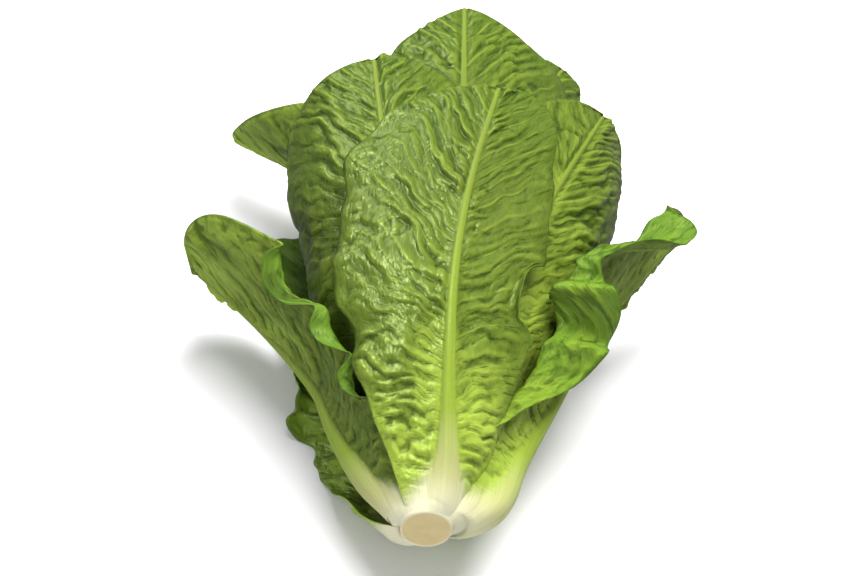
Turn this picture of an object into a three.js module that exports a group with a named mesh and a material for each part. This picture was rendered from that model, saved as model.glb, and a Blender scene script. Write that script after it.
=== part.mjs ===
import * as THREE from 'three';

// A head of romaine lettuce, cut from its root and lying on its side.
// Millimetres, +Z up. The cut butt faces -Y and the leaf tips point along +Y.
// The bottom leaf rests on z = 0, and the origin is the middle of that flat spot.

const { clamp, degToRad, lerp, smoothstep } = THREE.MathUtils;

// The axis runs from the middle of the cut butt towards the leaf tips.
const buttX = -9;
const buttY = -140;
const buttHeight = 47;
const bellyHeight = 56;
const bellyStart = 90;
const sideways = { reach: 14, from: 30, to: 190, perLength: 0.016 };

// The solid stem: a flat cut at the butt, slimmer towards the heart.
const stemRadius = 11;
const stemLength = 124;
const stemSlim = 0.72;
const stemSides = 24;
const stemSteps = 9;
const stemGap = 1.1;

// The outermost shell of leaves swells from the stem to its full girth.
const fullGirth = 96;
const swell = { length: 105, power: 1.2 };
const underSwell = { length: 75, power: 0.95 };
const wideFactor = 1.09;
const topFactor = 0.8;
const tipTaper = 0.1;
const floorSink = 0.5;
const flatSpot = 0.7;

// Each leaf lies this share of the girth inside the one before it, times its own step.
const shellStep = 0.0355;
const shellCrowding = 0.6;

const bladeThickness = 0.8;
const narrowest = 0.05;

const leafDefaults = {
  turn: 0, lateTurn: 0, cup: 1, open: [0, 0, 0], openFrom: 0.5, openPower: 1.6,
  peak: [0.62, 0.62], foot: [0.2, 0.2], footPower: [1, 1], tip: 2, lobe: 0.02, waves: 3.5,
  ruffle: [0.7, 0.7], phase: 0,
  curls: [], curlFrom: 0.6, curlBand: 0.2, ribHeight: 2, ribHalf: 5, ribFrom: 0.3, step: 1,
  rows: 11, columns: 5,
};

// The leaves, outermost first. az is the rib's azimuth round the axis in degrees, 0 on top
// and 90 at +X; tipAt is the tip's distance along the axis; left and right are half widths.
// A curl is [side, middle, half length, degrees]: a stretch of margin rolled outwards.
const leaves = [
  { name: 'leaf_under_left', az: -154, tipAt: 205, left: 56, right: 38, foot: [0.3, 0.3], phase: 1,
    ruffle: [1, 2], curls: [[1, 0.31, 0.12, 62]], curlFrom: 0.35, curlBand: 0.3, ribHeight: 4,
    ribHalf: 10, ribFrom: 0.06, rows: 16, columns: 6 },
  { name: 'leaf_front', az: 34, tipAt: 190, left: 56, right: 36, turn: -33, lateTurn: 13,
    foot: [0.24, 0.34], peak: [0.8, 0.62], tip: 2.6, phase: 0.3, step: 1.4, ruffle: [1.5, 1.5],
    curls: [[1, 0.47, 0.06, 120]], curlFrom: 0.74, curlBand: 0.14, ribHeight: 4, ribHalf: 6,
    ribFrom: 0.03, rows: 18, columns: 6 },
  { name: 'leaf_right_outer', az: 108, turn: -8, tipAt: 168, left: 74, right: 28, tip: 1.7,
    foot: [0.04, 0.6], footPower: [2, 1], step: 1.8, peak: [0.64, 0.6], open: [27, 0, 2],
    openFrom: 0.55, waves: 4, ruffle: [1.2, 1.5], phase: 0.5, lobe: 0.06,
    curls: [[-1, 0.44, 0.2, 150], [-1, 0.8, 0.1, 110]], curlFrom: 0.42, curlBand: 0.2,
    ribHeight: 11, ribHalf: 11, ribFrom: 0.03, rows: 20, columns: 6 },
  { name: 'leaf_left_outer', az: -108, tipAt: 149, left: 26, right: 61, foot: [0.3, 0.32],
    peak: [0.8, 0.76], tip: 3.2, open: [-52, 0, 2], openFrom: 0.45, openPower: 1.5, cup: 1.2,
    waves: 3, ruffle: [1.5, 2], phase: 2, lobe: 0.03,
    curls: [[1, 0.5, 0.07, 100], [1, 0.67, 0.07, 150]], curlFrom: 0.76, curlBand: 0.13,
    ribHeight: 5.5, ribHalf: 9, ribFrom: 0.03, rows: 20, columns: 6 },
  { name: 'leaf_under_right', az: 152, tipAt: 208, left: 38, right: 60, foot: [0.5, 0.22],
    phase: 4, ribHeight: 4, ribHalf: 8, ribFrom: 0.1, rows: 12 },
  { name: 'leaf_upper_right', az: 32, tipAt: 206, left: 50, right: 56, turn: 6, lateTurn: 28,
    peak: [0.66, 0.66], tip: 2.6, open: [5, 0, 0], openFrom: 0.2, openPower: 1, phase: 3.2,
    step: 1.4, ribHeight: 3, rows: 14 },
  { name: 'leaf_upper_left', az: -25, tipAt: 225, left: 54, right: 50, turn: 2, peak: [0.68, 0.68],
    tip: 2.4, open: [-22, 0, 0], openFrom: 0.25, openPower: 1, phase: 2.2, step: 1.8, ribHeight: 3,
    rows: 14 },
  { name: 'leaf_bottom', az: -178, tipAt: 222, left: 62, right: 44, phase: 5.2 },
  { name: 'leaf_far_right', az: 100, tipAt: 226, left: 56, right: 50, phase: 0.2, step: 1.5 },
  { name: 'leaf_far_left', az: -122, tipAt: 242, left: 14, right: 62, peak: [0.62, 0.86],
    tip: 1.05, open: [-72, 0, -6], openFrom: 0.7, openPower: 1.3, phase: 1.2, rows: 14,
    columns: 4 },
  { name: 'leaf_crown', az: 2, tipAt: 268, left: 70, right: 70, turn: -2, peak: [0.66, 0.66],
    tip: 1.45, phase: 0.9, rows: 14 },
  { name: 'leaf_low_left', az: -134, tipAt: 236, left: 54, right: 54, phase: 3.9, step: 1.5 },
  { name: 'leaf_crown_right', az: 58, tipAt: 249, left: 50, right: 50, phase: 5.9,
    open: [17, 0, -6], openFrom: 0.75, tip: 3 },
  { name: 'leaf_low_right', az: 150, tipAt: 230, left: 46, right: 50, phase: 2.9, step: 1.2 },
  { name: 'leaf_inner_1', az: -56, tipAt: 230, left: 46, right: 46, phase: 0.4 },
  { name: 'leaf_inner_2', az: -176, tipAt: 222, left: 44, right: 44, phase: 1.4,
    ruffle: [0.4, 0.4], rows: 10 },
  { name: 'leaf_inner_3', az: 24, tipAt: 220, left: 42, right: 38, phase: 2.4, step: 1.5,
    ruffle: [0.4, 0.4], rows: 10 },
  { name: 'leaf_inner_4', az: -110, tipAt: 210, left: 38, right: 38, phase: 3.4,
    ruffle: [0.4, 0.4], rows: 10, columns: 4 },
  { name: 'leaf_inner_5', az: 104, tipAt: 200, left: 36, right: 36, phase: 4.4, step: 1.3,
    ruffle: [0.4, 0.4], rows: 10, columns: 4 },
  { name: 'leaf_heart', az: -158, tipAt: 192, left: 30, right: 30, phase: 0.8, step: 1.3,
    ruffle: [0.4, 0.4], ribHeight: 1.2, rows: 9, columns: 4 },
];

const leafMaterial = new THREE.MeshStandardMaterial({ color: 0x6f9a35, roughness: 0.45, metalness: 0 });
const heartMaterial = new THREE.MeshStandardMaterial({ color: 0xb9c96a, roughness: 0.5, metalness: 0 });
const stemMaterial = new THREE.MeshStandardMaterial({ color: 0xc9b58e, roughness: 0.7, metalness: 0 });

function axisPoint(along) {
  return new THREE.Vector3(
    buttX + sideways.reach * smoothstep(along, sideways.from, sideways.to) + sideways.perLength * along,
    buttY + along,
    lerp(buttHeight, bellyHeight, smoothstep(along, 0, bellyStart)),
  );
}

function stemRadiusAt(along) {
  return stemRadius * (1 - stemSlim * smoothstep(along, 4, stemLength));
}

function girthAt(along, growth) {
  const grown = 1 - Math.exp(-Math.pow(Math.max(along, 0) / growth.length, growth.power));
  const girth = stemRadius + (fullGirth - stemRadius) * grown;
  return girth * (1 - tipTaper * smoothstep(along, 170, 280));
}

// Distance from the axis to the outermost shell: an oval, wider below and level where it rests.
function outerShell(along, angle) {
  const up = Math.cos(angle);
  const below = smoothstep(-up, -0.1, 0.7);
  const girth = lerp(girthAt(along, swell), girthAt(along, underSwell), below);
  const room = axisPoint(along).z + floorSink;
  const down = Math.pow(Math.pow(girth, -8) + Math.pow(room, -8), -1 / 8);
  const tall = up > 0 ? topFactor * girth : down;
  const power = up > 0 ? 2 : 2.5;
  const wide = Math.abs(Math.sin(angle)) / (wideFactor * girth);
  return Math.pow(Math.pow(wide, power) + Math.pow(Math.abs(up) / tall, power), -1 / power);
}

// The share of the way from the stem out to the outermost shell at which a leaf lies.
function depthAt(along, level) {
  const span = Math.max(girthAt(along, swell) - stemRadiusAt(along), 0.5);
  return Math.max(1 - (1 - level) * Math.pow((fullGirth - 5) / span, shellCrowding), 0);
}

function shellRadius(along, angle, level) {
  const stem = stemRadiusAt(along);
  return stem + stemGap + depthAt(along, level) * Math.max(outerShell(along, angle) - stem, 0);
}

// Where along the axis a leaf leaves the stem.
function leafStart(level) {
  let along = 0;
  while (along < stemLength && depthAt(along, level) <= 0) along += 0.25;
  return along + 0.6;
}

// Half width of the blade as a share of its widest, for t from 0 at the foot to 1 at the tip.
function outline(leaf, t, side) {
  const peak = leaf.peak[side > 0 ? 1 : 0];
  const foot = leaf.foot[side > 0 ? 1 : 0];
  const footPower = leaf.footPower[side > 0 ? 1 : 0];
  if (t < peak) return foot + (1 - foot) * Math.pow(Math.sin((Math.PI / 2) * (t / peak)), footPower);
  const fall = Math.pow((t - peak) / (1 - peak), leaf.tip);
  return Math.max(Math.pow(Math.max(1 - fall, 0), 1 / leaf.tip), narrowest);
}

// Follow an arc of constant curvature: x along the blade's section, y outwards.
function arcStep(from, curvature, length) {
  const bend = Math.abs(curvature) < 1e-5 ? 1e-5 : curvature;
  const angle = from.angle + bend * length;
  return {
    x: from.x + (Math.sin(angle) - Math.sin(from.angle)) / bend,
    y: from.y - (Math.cos(angle) - Math.cos(from.angle)) / bend,
    angle,
  };
}

// How far a margin is rolled outwards: its whole turn, and where across the blade it starts.
function curlAt(leaf, t, side) {
  let share = 0;
  let degrees = 0;
  for (const [curlSide, middle, half, turned] of leaf.curls) {
    if (curlSide !== side) continue;
    const weight = Math.exp(-Math.pow(Math.abs((t - middle) / half), 3));
    share += weight;
    degrees += weight * turned;
  }
  if (share < 0.001) return { turned: 0, from: 1 - leaf.curlBand };
  return {
    turned: degToRad(degrees / share) * smoothstep(share, 0, 0.4),
    from: lerp(1 - leaf.curlBand, leaf.curlFrom, Math.min(share, 1)),
  };
}

function ruffleAt(leaf, t, q, side) {
  const edge = Math.pow(clamp((Math.abs(q) - 0.3) / 0.7, 0, 1), 1.5);
  const phase = leaf.phase + (side > 0 ? 0 : 1.9);
  const height = leaf.ruffle[side > 0 ? 1 : 0] * smoothstep(t, 0.06, 0.3) * edge;
  const turns = 2 * Math.PI * leaf.waves * t;
  return height * (1 + Math.sin(turns + phase) + 0.4 * Math.sin(2.3 * turns + 2 * phase));
}

// A point of the blade's middle surface: t from foot to tip, q from -1 to 1 across.
function bladePoint(leaf, t, q) {
  const side = Math.sign(q);
  const along = lerp(leaf.start, leaf.tipAt, t);
  const azimuth = degToRad(leaf.az + leaf.turn * (1 - Math.pow(1 - t, 3)) + leaf.lateTurn * Math.pow(t, 3));
  const ribRadius = shellRadius(along, azimuth, leaf.level);
  const wobble = leaf.lobe * smoothstep(t, 0.1, 0.3)
    * Math.sin(3.4 * Math.PI * leaf.waves * t + leaf.phase + (side > 0 ? 0 : 2));
  const widest = side > 0 ? leaf.right : leaf.left;
  const half = widest * outline(leaf, t, side) * (1 + wobble);
  const reach = Math.abs(q) * half;
  const cupRadius = ribRadius * lerp(1, leaf.cup, smoothstep(t, 0.1, 0.5));
  const curl = curlAt(leaf, t, side);
  const bandStart = curl.from * half;
  const band = leaf.curlBand * half;

  let spot = { x: 0, y: 0, angle: 0 };
  spot = arcStep(spot, -1 / cupRadius, Math.min(reach, bandStart));
  spot = arcStep(spot, curl.turned / band - 1 / cupRadius, clamp(reach - bandStart, 0, band));
  spot = arcStep(spot, curl.turned > 0.3 ? 0 : -1 / cupRadius, Math.max(reach - bandStart - band, 0));
  const ruffle = ruffleAt(leaf, t, q, side);
  const x = spot.x - ruffle * Math.sin(spot.angle);
  const y = spot.y + ruffle * Math.cos(spot.angle);

  const angle = azimuth + side * Math.atan2(x, ribRadius + y);
  const radius = (shellRadius(along, angle, leaf.level) * Math.hypot(x, ribRadius + y)) / ribRadius;
  const splay = Math.pow(clamp((t - leaf.openFrom) / (1 - leaf.openFrom), 0, 1), leaf.openPower);
  return axisPoint(along)
    .add(new THREE.Vector3(radius * Math.sin(angle), 0, radius * Math.cos(angle)))
    .addScaledVector(new THREE.Vector3(...leaf.open), splay);
}

// Height of the midrib on the outer face, tall and broad at the foot and fine at the tip.
function ribAt(leaf, t, q) {
  const reach = Math.abs(q) * (q > 0 ? leaf.right : leaf.left) * outline(leaf, t, q);
  const half = leaf.ribHalf * (1 - 0.7 * t);
  const height = leaf.ribHeight * Math.pow(1 - t, 1.2) * smoothstep(t, -0.01, leaf.ribFrom);
  return height * Math.exp(-Math.pow(reach / half, 2));
}

// Places across one half of a blade, close together at the rib and round a curl.
function sideStops(leaf, side) {
  const curled = leaf.curls.some(([curlSide]) => curlSide === side);
  const stops = [];
  const flat = curled ? leaf.curlFrom : 1;
  for (let i = 1; i <= leaf.columns; i += 1) stops.push(flat * Math.pow(i / leaf.columns, 1.3));
  if (!curled) return stops;
  const fine = Math.ceil((2.2 * (1 - flat)) / leaf.curlBand);
  for (let i = 1; i <= fine; i += 1) stops.push(lerp(flat, 1, i / fine));
  return stops;
}

function bladeGrid(leaf) {
  const across = [...sideStops(leaf, -1).map((stop) => -stop).reverse(), 0, ...sideStops(leaf, 1)];
  const grid = [];
  for (let row = 0; row <= leaf.rows; row += 1) {
    const v = row / leaf.rows;
    const t = 0.45 * v + 0.55 * Math.sin((Math.PI / 2) * v);
    grid.push(across.map((q) => ({ t, q, middle: bladePoint(leaf, t, q) })));
  }
  return grid;
}

// Unit normal of the middle surface at a grid point, pointing away from the head's axis.
function gridNormal(grid, row, column) {
  const last = grid.length - 1;
  const width = grid[0].length - 1;
  const lengthwise = grid[Math.min(row + 1, last)][column].middle.clone()
    .sub(grid[Math.max(row - 1, 0)][column].middle);
  const crosswise = grid[row][Math.min(column + 1, width)].middle.clone()
    .sub(grid[row][Math.max(column - 1, 0)].middle);
  return crosswise.cross(lengthwise).normalize();
}

// A closed blade: an outer and an inner face split into triangles alike, and a rim.
function bladeGeometry(leaf) {
  const grid = bladeGrid(leaf);
  const rows = grid.length;
  const columns = grid[0].length;
  const outer = [];
  const inner = [];
  for (let row = 0; row < rows; row += 1) {
    for (let column = 0; column < columns; column += 1) {
      const { t, q, middle } = grid[row][column];
      const normal = gridNormal(grid, row, column);
      const out = middle.clone().addScaledVector(normal, bladeThickness / 2 + ribAt(leaf, t, q));
      const inn = middle.clone().addScaledVector(normal, -bladeThickness / 2);
      if (out.z < flatSpot) out.z = 0;
      inn.z = Math.max(inn.z, bladeThickness);
      outer.push(out.x, out.y, out.z);
      inner.push(inn.x, inn.y, inn.z);
    }
  }
  const shift = rows * columns;
  const faces = [];
  const quad = (a, b, c, d) => faces.push(a, b, c, a, c, d);
  for (let row = 0; row < rows - 1; row += 1) {
    for (let column = 0; column < columns - 1; column += 1) {
      const a = row * columns + column;
      const [b, c, d] = [a + columns, a + columns + 1, a + 1];
      faces.push(a, c, b, a, d, c);
      quad(shift + a, shift + b, shift + c, shift + d);
    }
  }
  const rim = (a, b) => quad(a, shift + a, shift + b, b);
  for (let column = 0; column < columns - 1; column += 1) {
    rim(column, column + 1);
    rim((rows - 1) * columns + column + 1, (rows - 1) * columns + column);
  }
  for (let row = 0; row < rows - 1; row += 1) {
    rim((row + 1) * columns, row * columns);
    rim(row * columns + columns - 1, (row + 1) * columns + columns - 1);
  }
  const geometry = new THREE.BufferGeometry();
  geometry.setAttribute('position', new THREE.Float32BufferAttribute([...outer, ...inner], 3));
  geometry.setIndex(faces);
  geometry.computeVertexNormals();
  return geometry;
}

// The stem is turned about its own axis, then bent to follow the head's.
function stemGeometry() {
  const profile = [new THREE.Vector2(0, 0)];
  for (let step = 0; step <= stemSteps; step += 1) {
    const along = (stemLength * step) / stemSteps;
    profile.push(new THREE.Vector2(stemRadiusAt(along), along));
  }
  profile.push(new THREE.Vector2(0, stemLength));
  const geometry = new THREE.LatheGeometry(profile, stemSides);
  const position = geometry.getAttribute('position');
  const point = new THREE.Vector3();
  for (let i = 0; i < position.count; i += 1) {
    point.fromBufferAttribute(position, i);
    const centre = axisPoint(point.y);
    position.setXYZ(i, centre.x + point.x, centre.y, centre.z + point.z);
  }
  geometry.computeVertexNormals();
  return geometry;
}

const group = new THREE.Group();

const stem = new THREE.Mesh(stemGeometry(), stemMaterial);
stem.name = 'stem';
group.add(stem);

let level = 1;
leaves.forEach((entry, order) => {
  const leaf = { ...leafDefaults, ...entry };
  if (order > 0) level -= shellStep * leaf.step;
  leaf.level = level;
  leaf.start = leafStart(level);
  const isHeart = leaf.name === 'leaf_heart';
  const mesh = new THREE.Mesh(bladeGeometry(leaf), isHeart ? heartMaterial : leafMaterial);
  mesh.name = leaf.name;
  group.add(mesh);
});

export default group;
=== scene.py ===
import math
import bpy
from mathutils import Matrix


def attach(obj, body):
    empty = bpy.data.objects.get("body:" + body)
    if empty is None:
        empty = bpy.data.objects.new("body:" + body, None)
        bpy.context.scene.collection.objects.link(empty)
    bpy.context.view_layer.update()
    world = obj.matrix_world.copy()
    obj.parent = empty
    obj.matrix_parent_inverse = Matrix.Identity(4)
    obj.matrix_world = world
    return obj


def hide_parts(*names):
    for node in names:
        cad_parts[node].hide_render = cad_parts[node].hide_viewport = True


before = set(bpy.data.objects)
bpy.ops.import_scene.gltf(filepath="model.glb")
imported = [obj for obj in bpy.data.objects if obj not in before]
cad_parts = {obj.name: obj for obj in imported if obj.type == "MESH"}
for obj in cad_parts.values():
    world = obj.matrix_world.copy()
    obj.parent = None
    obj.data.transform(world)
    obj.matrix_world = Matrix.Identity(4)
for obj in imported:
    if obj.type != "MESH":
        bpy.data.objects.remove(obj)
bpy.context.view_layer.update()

from types import SimpleNamespace

import bmesh
import bpy
import numpy as np

# A head of romaine lettuce on its side. The leaf forms are worked out in millimetres,
# as in the part's source, and set in the mesh in metres.
mm = 0.001

headForm = {
    # the middle line, from the cut face up into the leaves
    "buttX": -9, "buttY": -140, "buttHeight": 47, "bellyHeight": 56, "bellyStart": 90,
    "sideReach": 14, "sideFrom": 30, "sideTo": 190, "sidePerLength": 0.016,
    # the stem, and the gap between it and the leaves
    "stemRadius": 11, "stemLength": 124, "stemSlim": 0.72, "slimFrom": 4, "stemGap": 1.1,
    # how the girth grows over and under the middle line, and how it closes at the tips
    "fullGirth": 96, "swellLength": 105, "swellPower": 1.2,
    "underLength": 75, "underPower": 0.95, "tipTaper": 0.1, "taper": (170, 280),
    # the cross-section: flatter over the middle line, pressed down on the floor under it
    "wideFactor": 1.09, "topFactor": 0.8, "underFrom": -0.1, "underTo": 0.7,
    "topRound": 2.0, "underRound": 2.5, "floorBlend": 8.0, "floorSink": 0.5,
    # the leaves' shells, one inside the other, and where on the stem a leaf starts
    "shellStep": 0.0355, "shellCrowding": 0.6, "crowdMargin": 5, "leastRoom": 0.5,
    "startStep": 0.25, "startPast": 0.6,
    # a blade's thickness and its least share of width, and what lies flat on the floor
    "blade": 0.8, "narrowest": 0.03, "flatSpot": 0.7,
}
head = SimpleNamespace(**headForm)

# What an entry says of its leaf:
# - around, turn, lateTurn: degrees round the head at the foot, and those added up the leaf,
#   early and late
# - tipAt, left, right: how far along the head the tip is, and the half widths
# - foot, footPower, peak, tip, lobe, waves, ruffle: the outline and its waves, with pairs
#   for the left and the right side, and phase, which seeds the leaf's noise too
# - curls: side, middle, half length and degrees of each rolled bit of the margin
# - curlFrom, curlBand: where a roll starts and how wide it is, as shares of the half width
# - cup: the radius of the leaf's hollow as a share of its shell's
# - open, openFrom, openPower: how far the tip leans out of the head, from which share of the
#   length on, and how gently that begins
# - step: how many shell steps the leaf lies inside the one before
# - rooted: whether the foot starts at the cut face, on the stem
# - ribHeight, ribHalf: the petiole. It rises over swellBy, with the extra bulge, in a rooted
#   leaf and up to the share ribFrom of the length in the others
# The rest belongs to the looks:
# - spacing: the size of the mesh's squares
# - frill, lobes: heights of the frilled margin and of its nicks
# - puff, crumple, swale: heights of the puckers, of the crumples far out from the rib and
#   of the slow waves. The puckers begin at the share puffFrom of the length
# - tone: how green the leaf is at the foot and at the tip
# - cord, climb: the breadth of the pale midrib, and how steeply the side veins rise
leafDefaults = {
    "turn": 0, "lateTurn": 0, "cup": 1, "open": (0, 0, 0), "openFrom": 0.5, "openPower": 1.6,
    "peak": (0.62, 0.62), "foot": (0.2, 0.2), "footPower": (1, 1), "tip": 2, "lobe": 0.02,
    "waves": 3.5, "ruffle": (0.7, 0.7), "phase": 0, "curls": (), "curlFrom": 0.6,
    "curlBand": 0.2, "ribHeight": 2, "ribHalf": 5, "ribFrom": 0.3, "step": 1,
    "rooted": False, "swellBy": 12, "bulge": 0, "spacing": 1.6, "frill": 0.5, "lobes": 1.2,
    "puff": 0.6, "puffFrom": 0.3, "crumple": 0.6, "swale": 0.6, "tone": (0, 1), "cord": 1,
    "climb": (1, 1),
}

# outermost first
leaves = [
    {"name": "leaf_under_left", "around": -154, "tipAt": 205, "left": 56, "right": 51,
     "foot": (0.3, 0.28), "footPower": (1, 1.7), "peak": (0.62, 0.8), "phase": 1,
     "ruffle": (1, 2), "curls": ((1, 0.31, 0.12, 62),), "curlFrom": 0.35, "curlBand": 0.3,
     "ribHeight": 4, "ribHalf": 10, "rooted": True,
     "spacing": 1.2, "frill": 3, "lobes": 3.5, "puff": 1.4, "puffFrom": 0.04,
     "tone": (0, 0.35)},
    {"name": "leaf_front", "around": 34, "tipAt": 190, "left": 56, "right": 36, "turn": -33,
     "lateTurn": 13, "foot": (0.28, 0.34), "peak": (0.8, 0.62), "tip": 2.6, "phase": 0.3,
     "step": 1.4, "ruffle": (1.5, 1.5), "curls": ((1, 0.47, 0.06, 120),), "curlFrom": 0.74,
     "curlBand": 0.14, "ribHeight": 4, "ribHalf": 6, "rooted": True,
     "spacing": 0.66, "frill": 1.0, "puff": 1.4, "puffFrom": 0.02, "swale": 1.3,
     "climb": (1.2, 0.8)},
    {"name": "leaf_right_outer", "around": 108, "turn": -8, "tipAt": 168, "left": 74, "right": 28,
     "tip": 1.7, "foot": (0.16, 0.6), "footPower": (1.6, 1), "step": 1.8, "peak": (0.64, 0.6),
     "open": (27, 0, 2), "openFrom": 0.55, "waves": 4, "ruffle": (1.2, 1.5), "phase": 0.5,
     "lobe": 0.06, "curls": ((-1, 0.44, 0.2, 150), (-1, 0.8, 0.1, 110)), "curlFrom": 0.42,
     "curlBand": 0.2, "ribHeight": 11, "ribHalf": 11, "rooted": True, "bulge": 5.5,
     "swellBy": 19, "spacing": 0.82, "frill": 2.4, "lobes": 8, "puff": 1.1,
     "puffFrom": 0.04, "crumple": 1.1, "cord": 1.4, "tone": (0.12, 0.42)},
    {"name": "leaf_left_outer", "around": -108, "tipAt": 149, "left": 26, "right": 66,
     "foot": (0.3, 0.32), "peak": (0.8, 0.76), "tip": 3.2, "open": (-52, 0, 2),
     "openFrom": 0.45, "openPower": 1.5, "cup": 1.2, "waves": 3, "ruffle": (1.5, 2),
     "phase": 2, "lobe": 0.03,
     "curls": ((1, 0.35, 0.05, 110), (1, 0.5, 0.07, 120), (1, 0.68, 0.08, 160)),
     "curlFrom": 0.72, "curlBand": 0.15, "ribHeight": 5.5, "ribHalf": 9, "rooted": True,
     "spacing": 0.78, "frill": 1.0, "lobes": 0.8, "puff": 1.4, "puffFrom": 0.04,
     "cord": 1.9, "tone": (0.6, 0.2)},
    {"name": "leaf_under_right", "around": 152, "tipAt": 208, "left": 38, "right": 60,
     "foot": (0.5, 0.22), "phase": 4, "ribHeight": 4, "ribHalf": 8, "ribFrom": 0.1,
     "spacing": 2, "frill": 1.4, "puffFrom": 0.06},
    {"name": "leaf_upper_right", "around": 32, "tipAt": 206, "left": 50, "right": 56, "turn": 6,
     "lateTurn": 28, "peak": (0.66, 0.66), "tip": 2.6, "open": (5, 0, 0), "openFrom": 0.2,
     "openPower": 1, "phase": 3.2, "step": 1.4, "ribHeight": 3,
     "spacing": 0.92, "frill": 1.0, "puff": 1.2, "swale": 1.2, "tone": (0.02, 0.55)},
    {"name": "leaf_upper_left", "around": -25, "tipAt": 225, "left": 54, "right": 50, "turn": 2,
     "peak": (0.68, 0.68), "tip": 2.4, "open": (-23, 0, 0), "openFrom": 0.12,
     "openPower": 0.9, "phase": 2.2, "step": 1.8, "ribHeight": 3,
     "spacing": 0.94, "frill": 1.2, "puff": 1.1, "swale": 1.2, "tone": (0.12, 1.1)},
    {"name": "leaf_bottom", "around": -178, "tipAt": 222, "left": 62, "right": 44, "phase": 5.2,
     "spacing": 2.4},
    {"name": "leaf_far_right", "around": 100, "tipAt": 226, "left": 56, "right": 50, "phase": 0.2,
     "step": 1.5, "spacing": 2, "frill": 0.9},
    {"name": "leaf_far_left", "around": -122, "tipAt": 242, "left": 14, "right": 62,
     "peak": (0.62, 0.86), "tip": 1.05, "open": (-72, 0, -6), "openFrom": 0.7,
     "openPower": 1.3, "phase": 1.2,
     "spacing": 1.15, "frill": 1.0, "puff": 0.9, "tone": (0, 0.25)},
    {"name": "leaf_crown", "around": 2, "tipAt": 268, "left": 70, "right": 70, "turn": -2,
     "peak": (0.66, 0.66), "tip": 1.45, "phase": 0.9, "spacing": 1.02, "frill": 1.2,
     "puff": 1.1, "puffFrom": 0.5, "swale": 1.2, "tone": (0.12, 1.1)},
    {"name": "leaf_low_left", "around": -134, "tipAt": 236, "left": 54, "right": 54, "phase": 3.9,
     "step": 1.5, "spacing": 2.4, "frill": 0.9},
    {"name": "leaf_crown_right", "around": 58, "tipAt": 249, "left": 50, "right": 50,
     "phase": 5.9, "open": (17, 0, -6), "openFrom": 0.75, "tip": 3,
     "spacing": 1.3, "frill": 0.9, "puff": 0.9, "puffFrom": 0.5, "tone": (0.12, 1.1)},
    {"name": "leaf_low_right", "around": 150, "tipAt": 230, "left": 46, "right": 50, "phase": 2.9,
     "step": 1.2, "spacing": 2.4},
    {"name": "leaf_inner_1", "around": -56, "tipAt": 230, "left": 46, "right": 46, "phase": 0.4,
     "spacing": 2.4},
    {"name": "leaf_inner_2", "around": -176, "tipAt": 222, "left": 44, "right": 44, "phase": 1.4,
     "ruffle": (0.4, 0.4), "spacing": 2.4},
    {"name": "leaf_inner_3", "around": 24, "tipAt": 220, "left": 42, "right": 38, "phase": 2.4,
     "step": 1.5, "ruffle": (0.4, 0.4), "spacing": 2.4},
    {"name": "leaf_inner_4", "around": -110, "tipAt": 210, "left": 38, "right": 38, "phase": 3.4,
     "ruffle": (0.4, 0.4), "spacing": 2.4},
    {"name": "leaf_inner_5", "around": 104, "tipAt": 200, "left": 36, "right": 36, "phase": 4.4,
     "step": 1.3, "ruffle": (0.4, 0.4), "spacing": 2.4},
    {"name": "leaf_heart", "around": -158, "tipAt": 192, "left": 30, "right": 30, "phase": 0.8,
     "step": 1.3, "ruffle": (0.4, 0.4), "ribHeight": 1.2, "spacing": 2.4},
]


def ramp(x, low, high):
    share = np.clip((x - low) / (high - low), 0, 1)
    return share * share * (3 - 2 * share)


def mix(a, b, share):
    return a + (b - a) * share


def perSide(pair, side):
    return np.where(side > 0, pair[1], pair[0])


def axisPoint(along):
    swing = head.sideReach * ramp(along, head.sideFrom, head.sideTo)
    x = head.buttX + swing + head.sidePerLength * along
    z = mix(head.buttHeight, head.bellyHeight, ramp(along, 0, head.bellyStart))
    return x, head.buttY + along, z


def stemRadiusAt(along):
    return head.stemRadius * (1 - head.stemSlim * ramp(along, head.slimFrom, head.stemLength))


def girthAt(along, length, power):
    grown = 1 - np.exp(-np.power(np.maximum(along, 0) / length, power))
    girth = head.stemRadius + (head.fullGirth - head.stemRadius) * grown
    return girth * (1 - head.tipTaper * ramp(along, *head.taper))


def outerShell(along, angle):
    up = np.cos(angle)
    over = girthAt(along, head.swellLength, head.swellPower)
    under = girthAt(along, head.underLength, head.underPower)
    girth = mix(over, under, ramp(-up, head.underFrom, head.underTo))
    room = axisPoint(along)[2] + head.floorSink
    blend = head.floorBlend
    down = np.power(np.power(girth, -blend) + np.power(room, -blend), -1 / blend)
    tall = np.where(up > 0, head.topFactor * girth, down)
    power = np.where(up > 0, head.topRound, head.underRound)
    wide = np.abs(np.sin(angle)) / (head.wideFactor * girth)
    return np.power(np.power(wide, power) + np.power(np.abs(up) / tall, power), -1 / power)


def depthAt(along, level):
    room = girthAt(along, head.swellLength, head.swellPower) - stemRadiusAt(along)
    full = head.fullGirth - head.crowdMargin
    crowd = np.power(full / np.maximum(room, head.leastRoom), head.shellCrowding)
    return np.maximum(1 - (1 - level) * crowd, 0)


def shellRadius(along, angle, level):
    stem = stemRadiusAt(along)
    room = np.maximum(outerShell(along, angle) - stem, 0)
    return stem + head.stemGap + depthAt(along, level) * room


def leafStart(level):
    along = 0.0
    while along < head.stemLength and depthAt(along, level) <= 0:
        along += head.startStep
    return along + head.startPast


hashKey = {"x": 127.1, "y": 311.7, "seed": 74.7, "stretch": 43758.5453}
cellForm = {"scatter": 0.75, "seedStep": 5, "farAway": 9.0}


def hashed(ix, iy, seed):  # a fixed draw for each cell of a grid, 0 to 1
    wave = np.sin(ix * hashKey["x"] + iy * hashKey["y"] + seed * hashKey["seed"])
    wave = wave * hashKey["stretch"]
    return wave - np.floor(wave)


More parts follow.
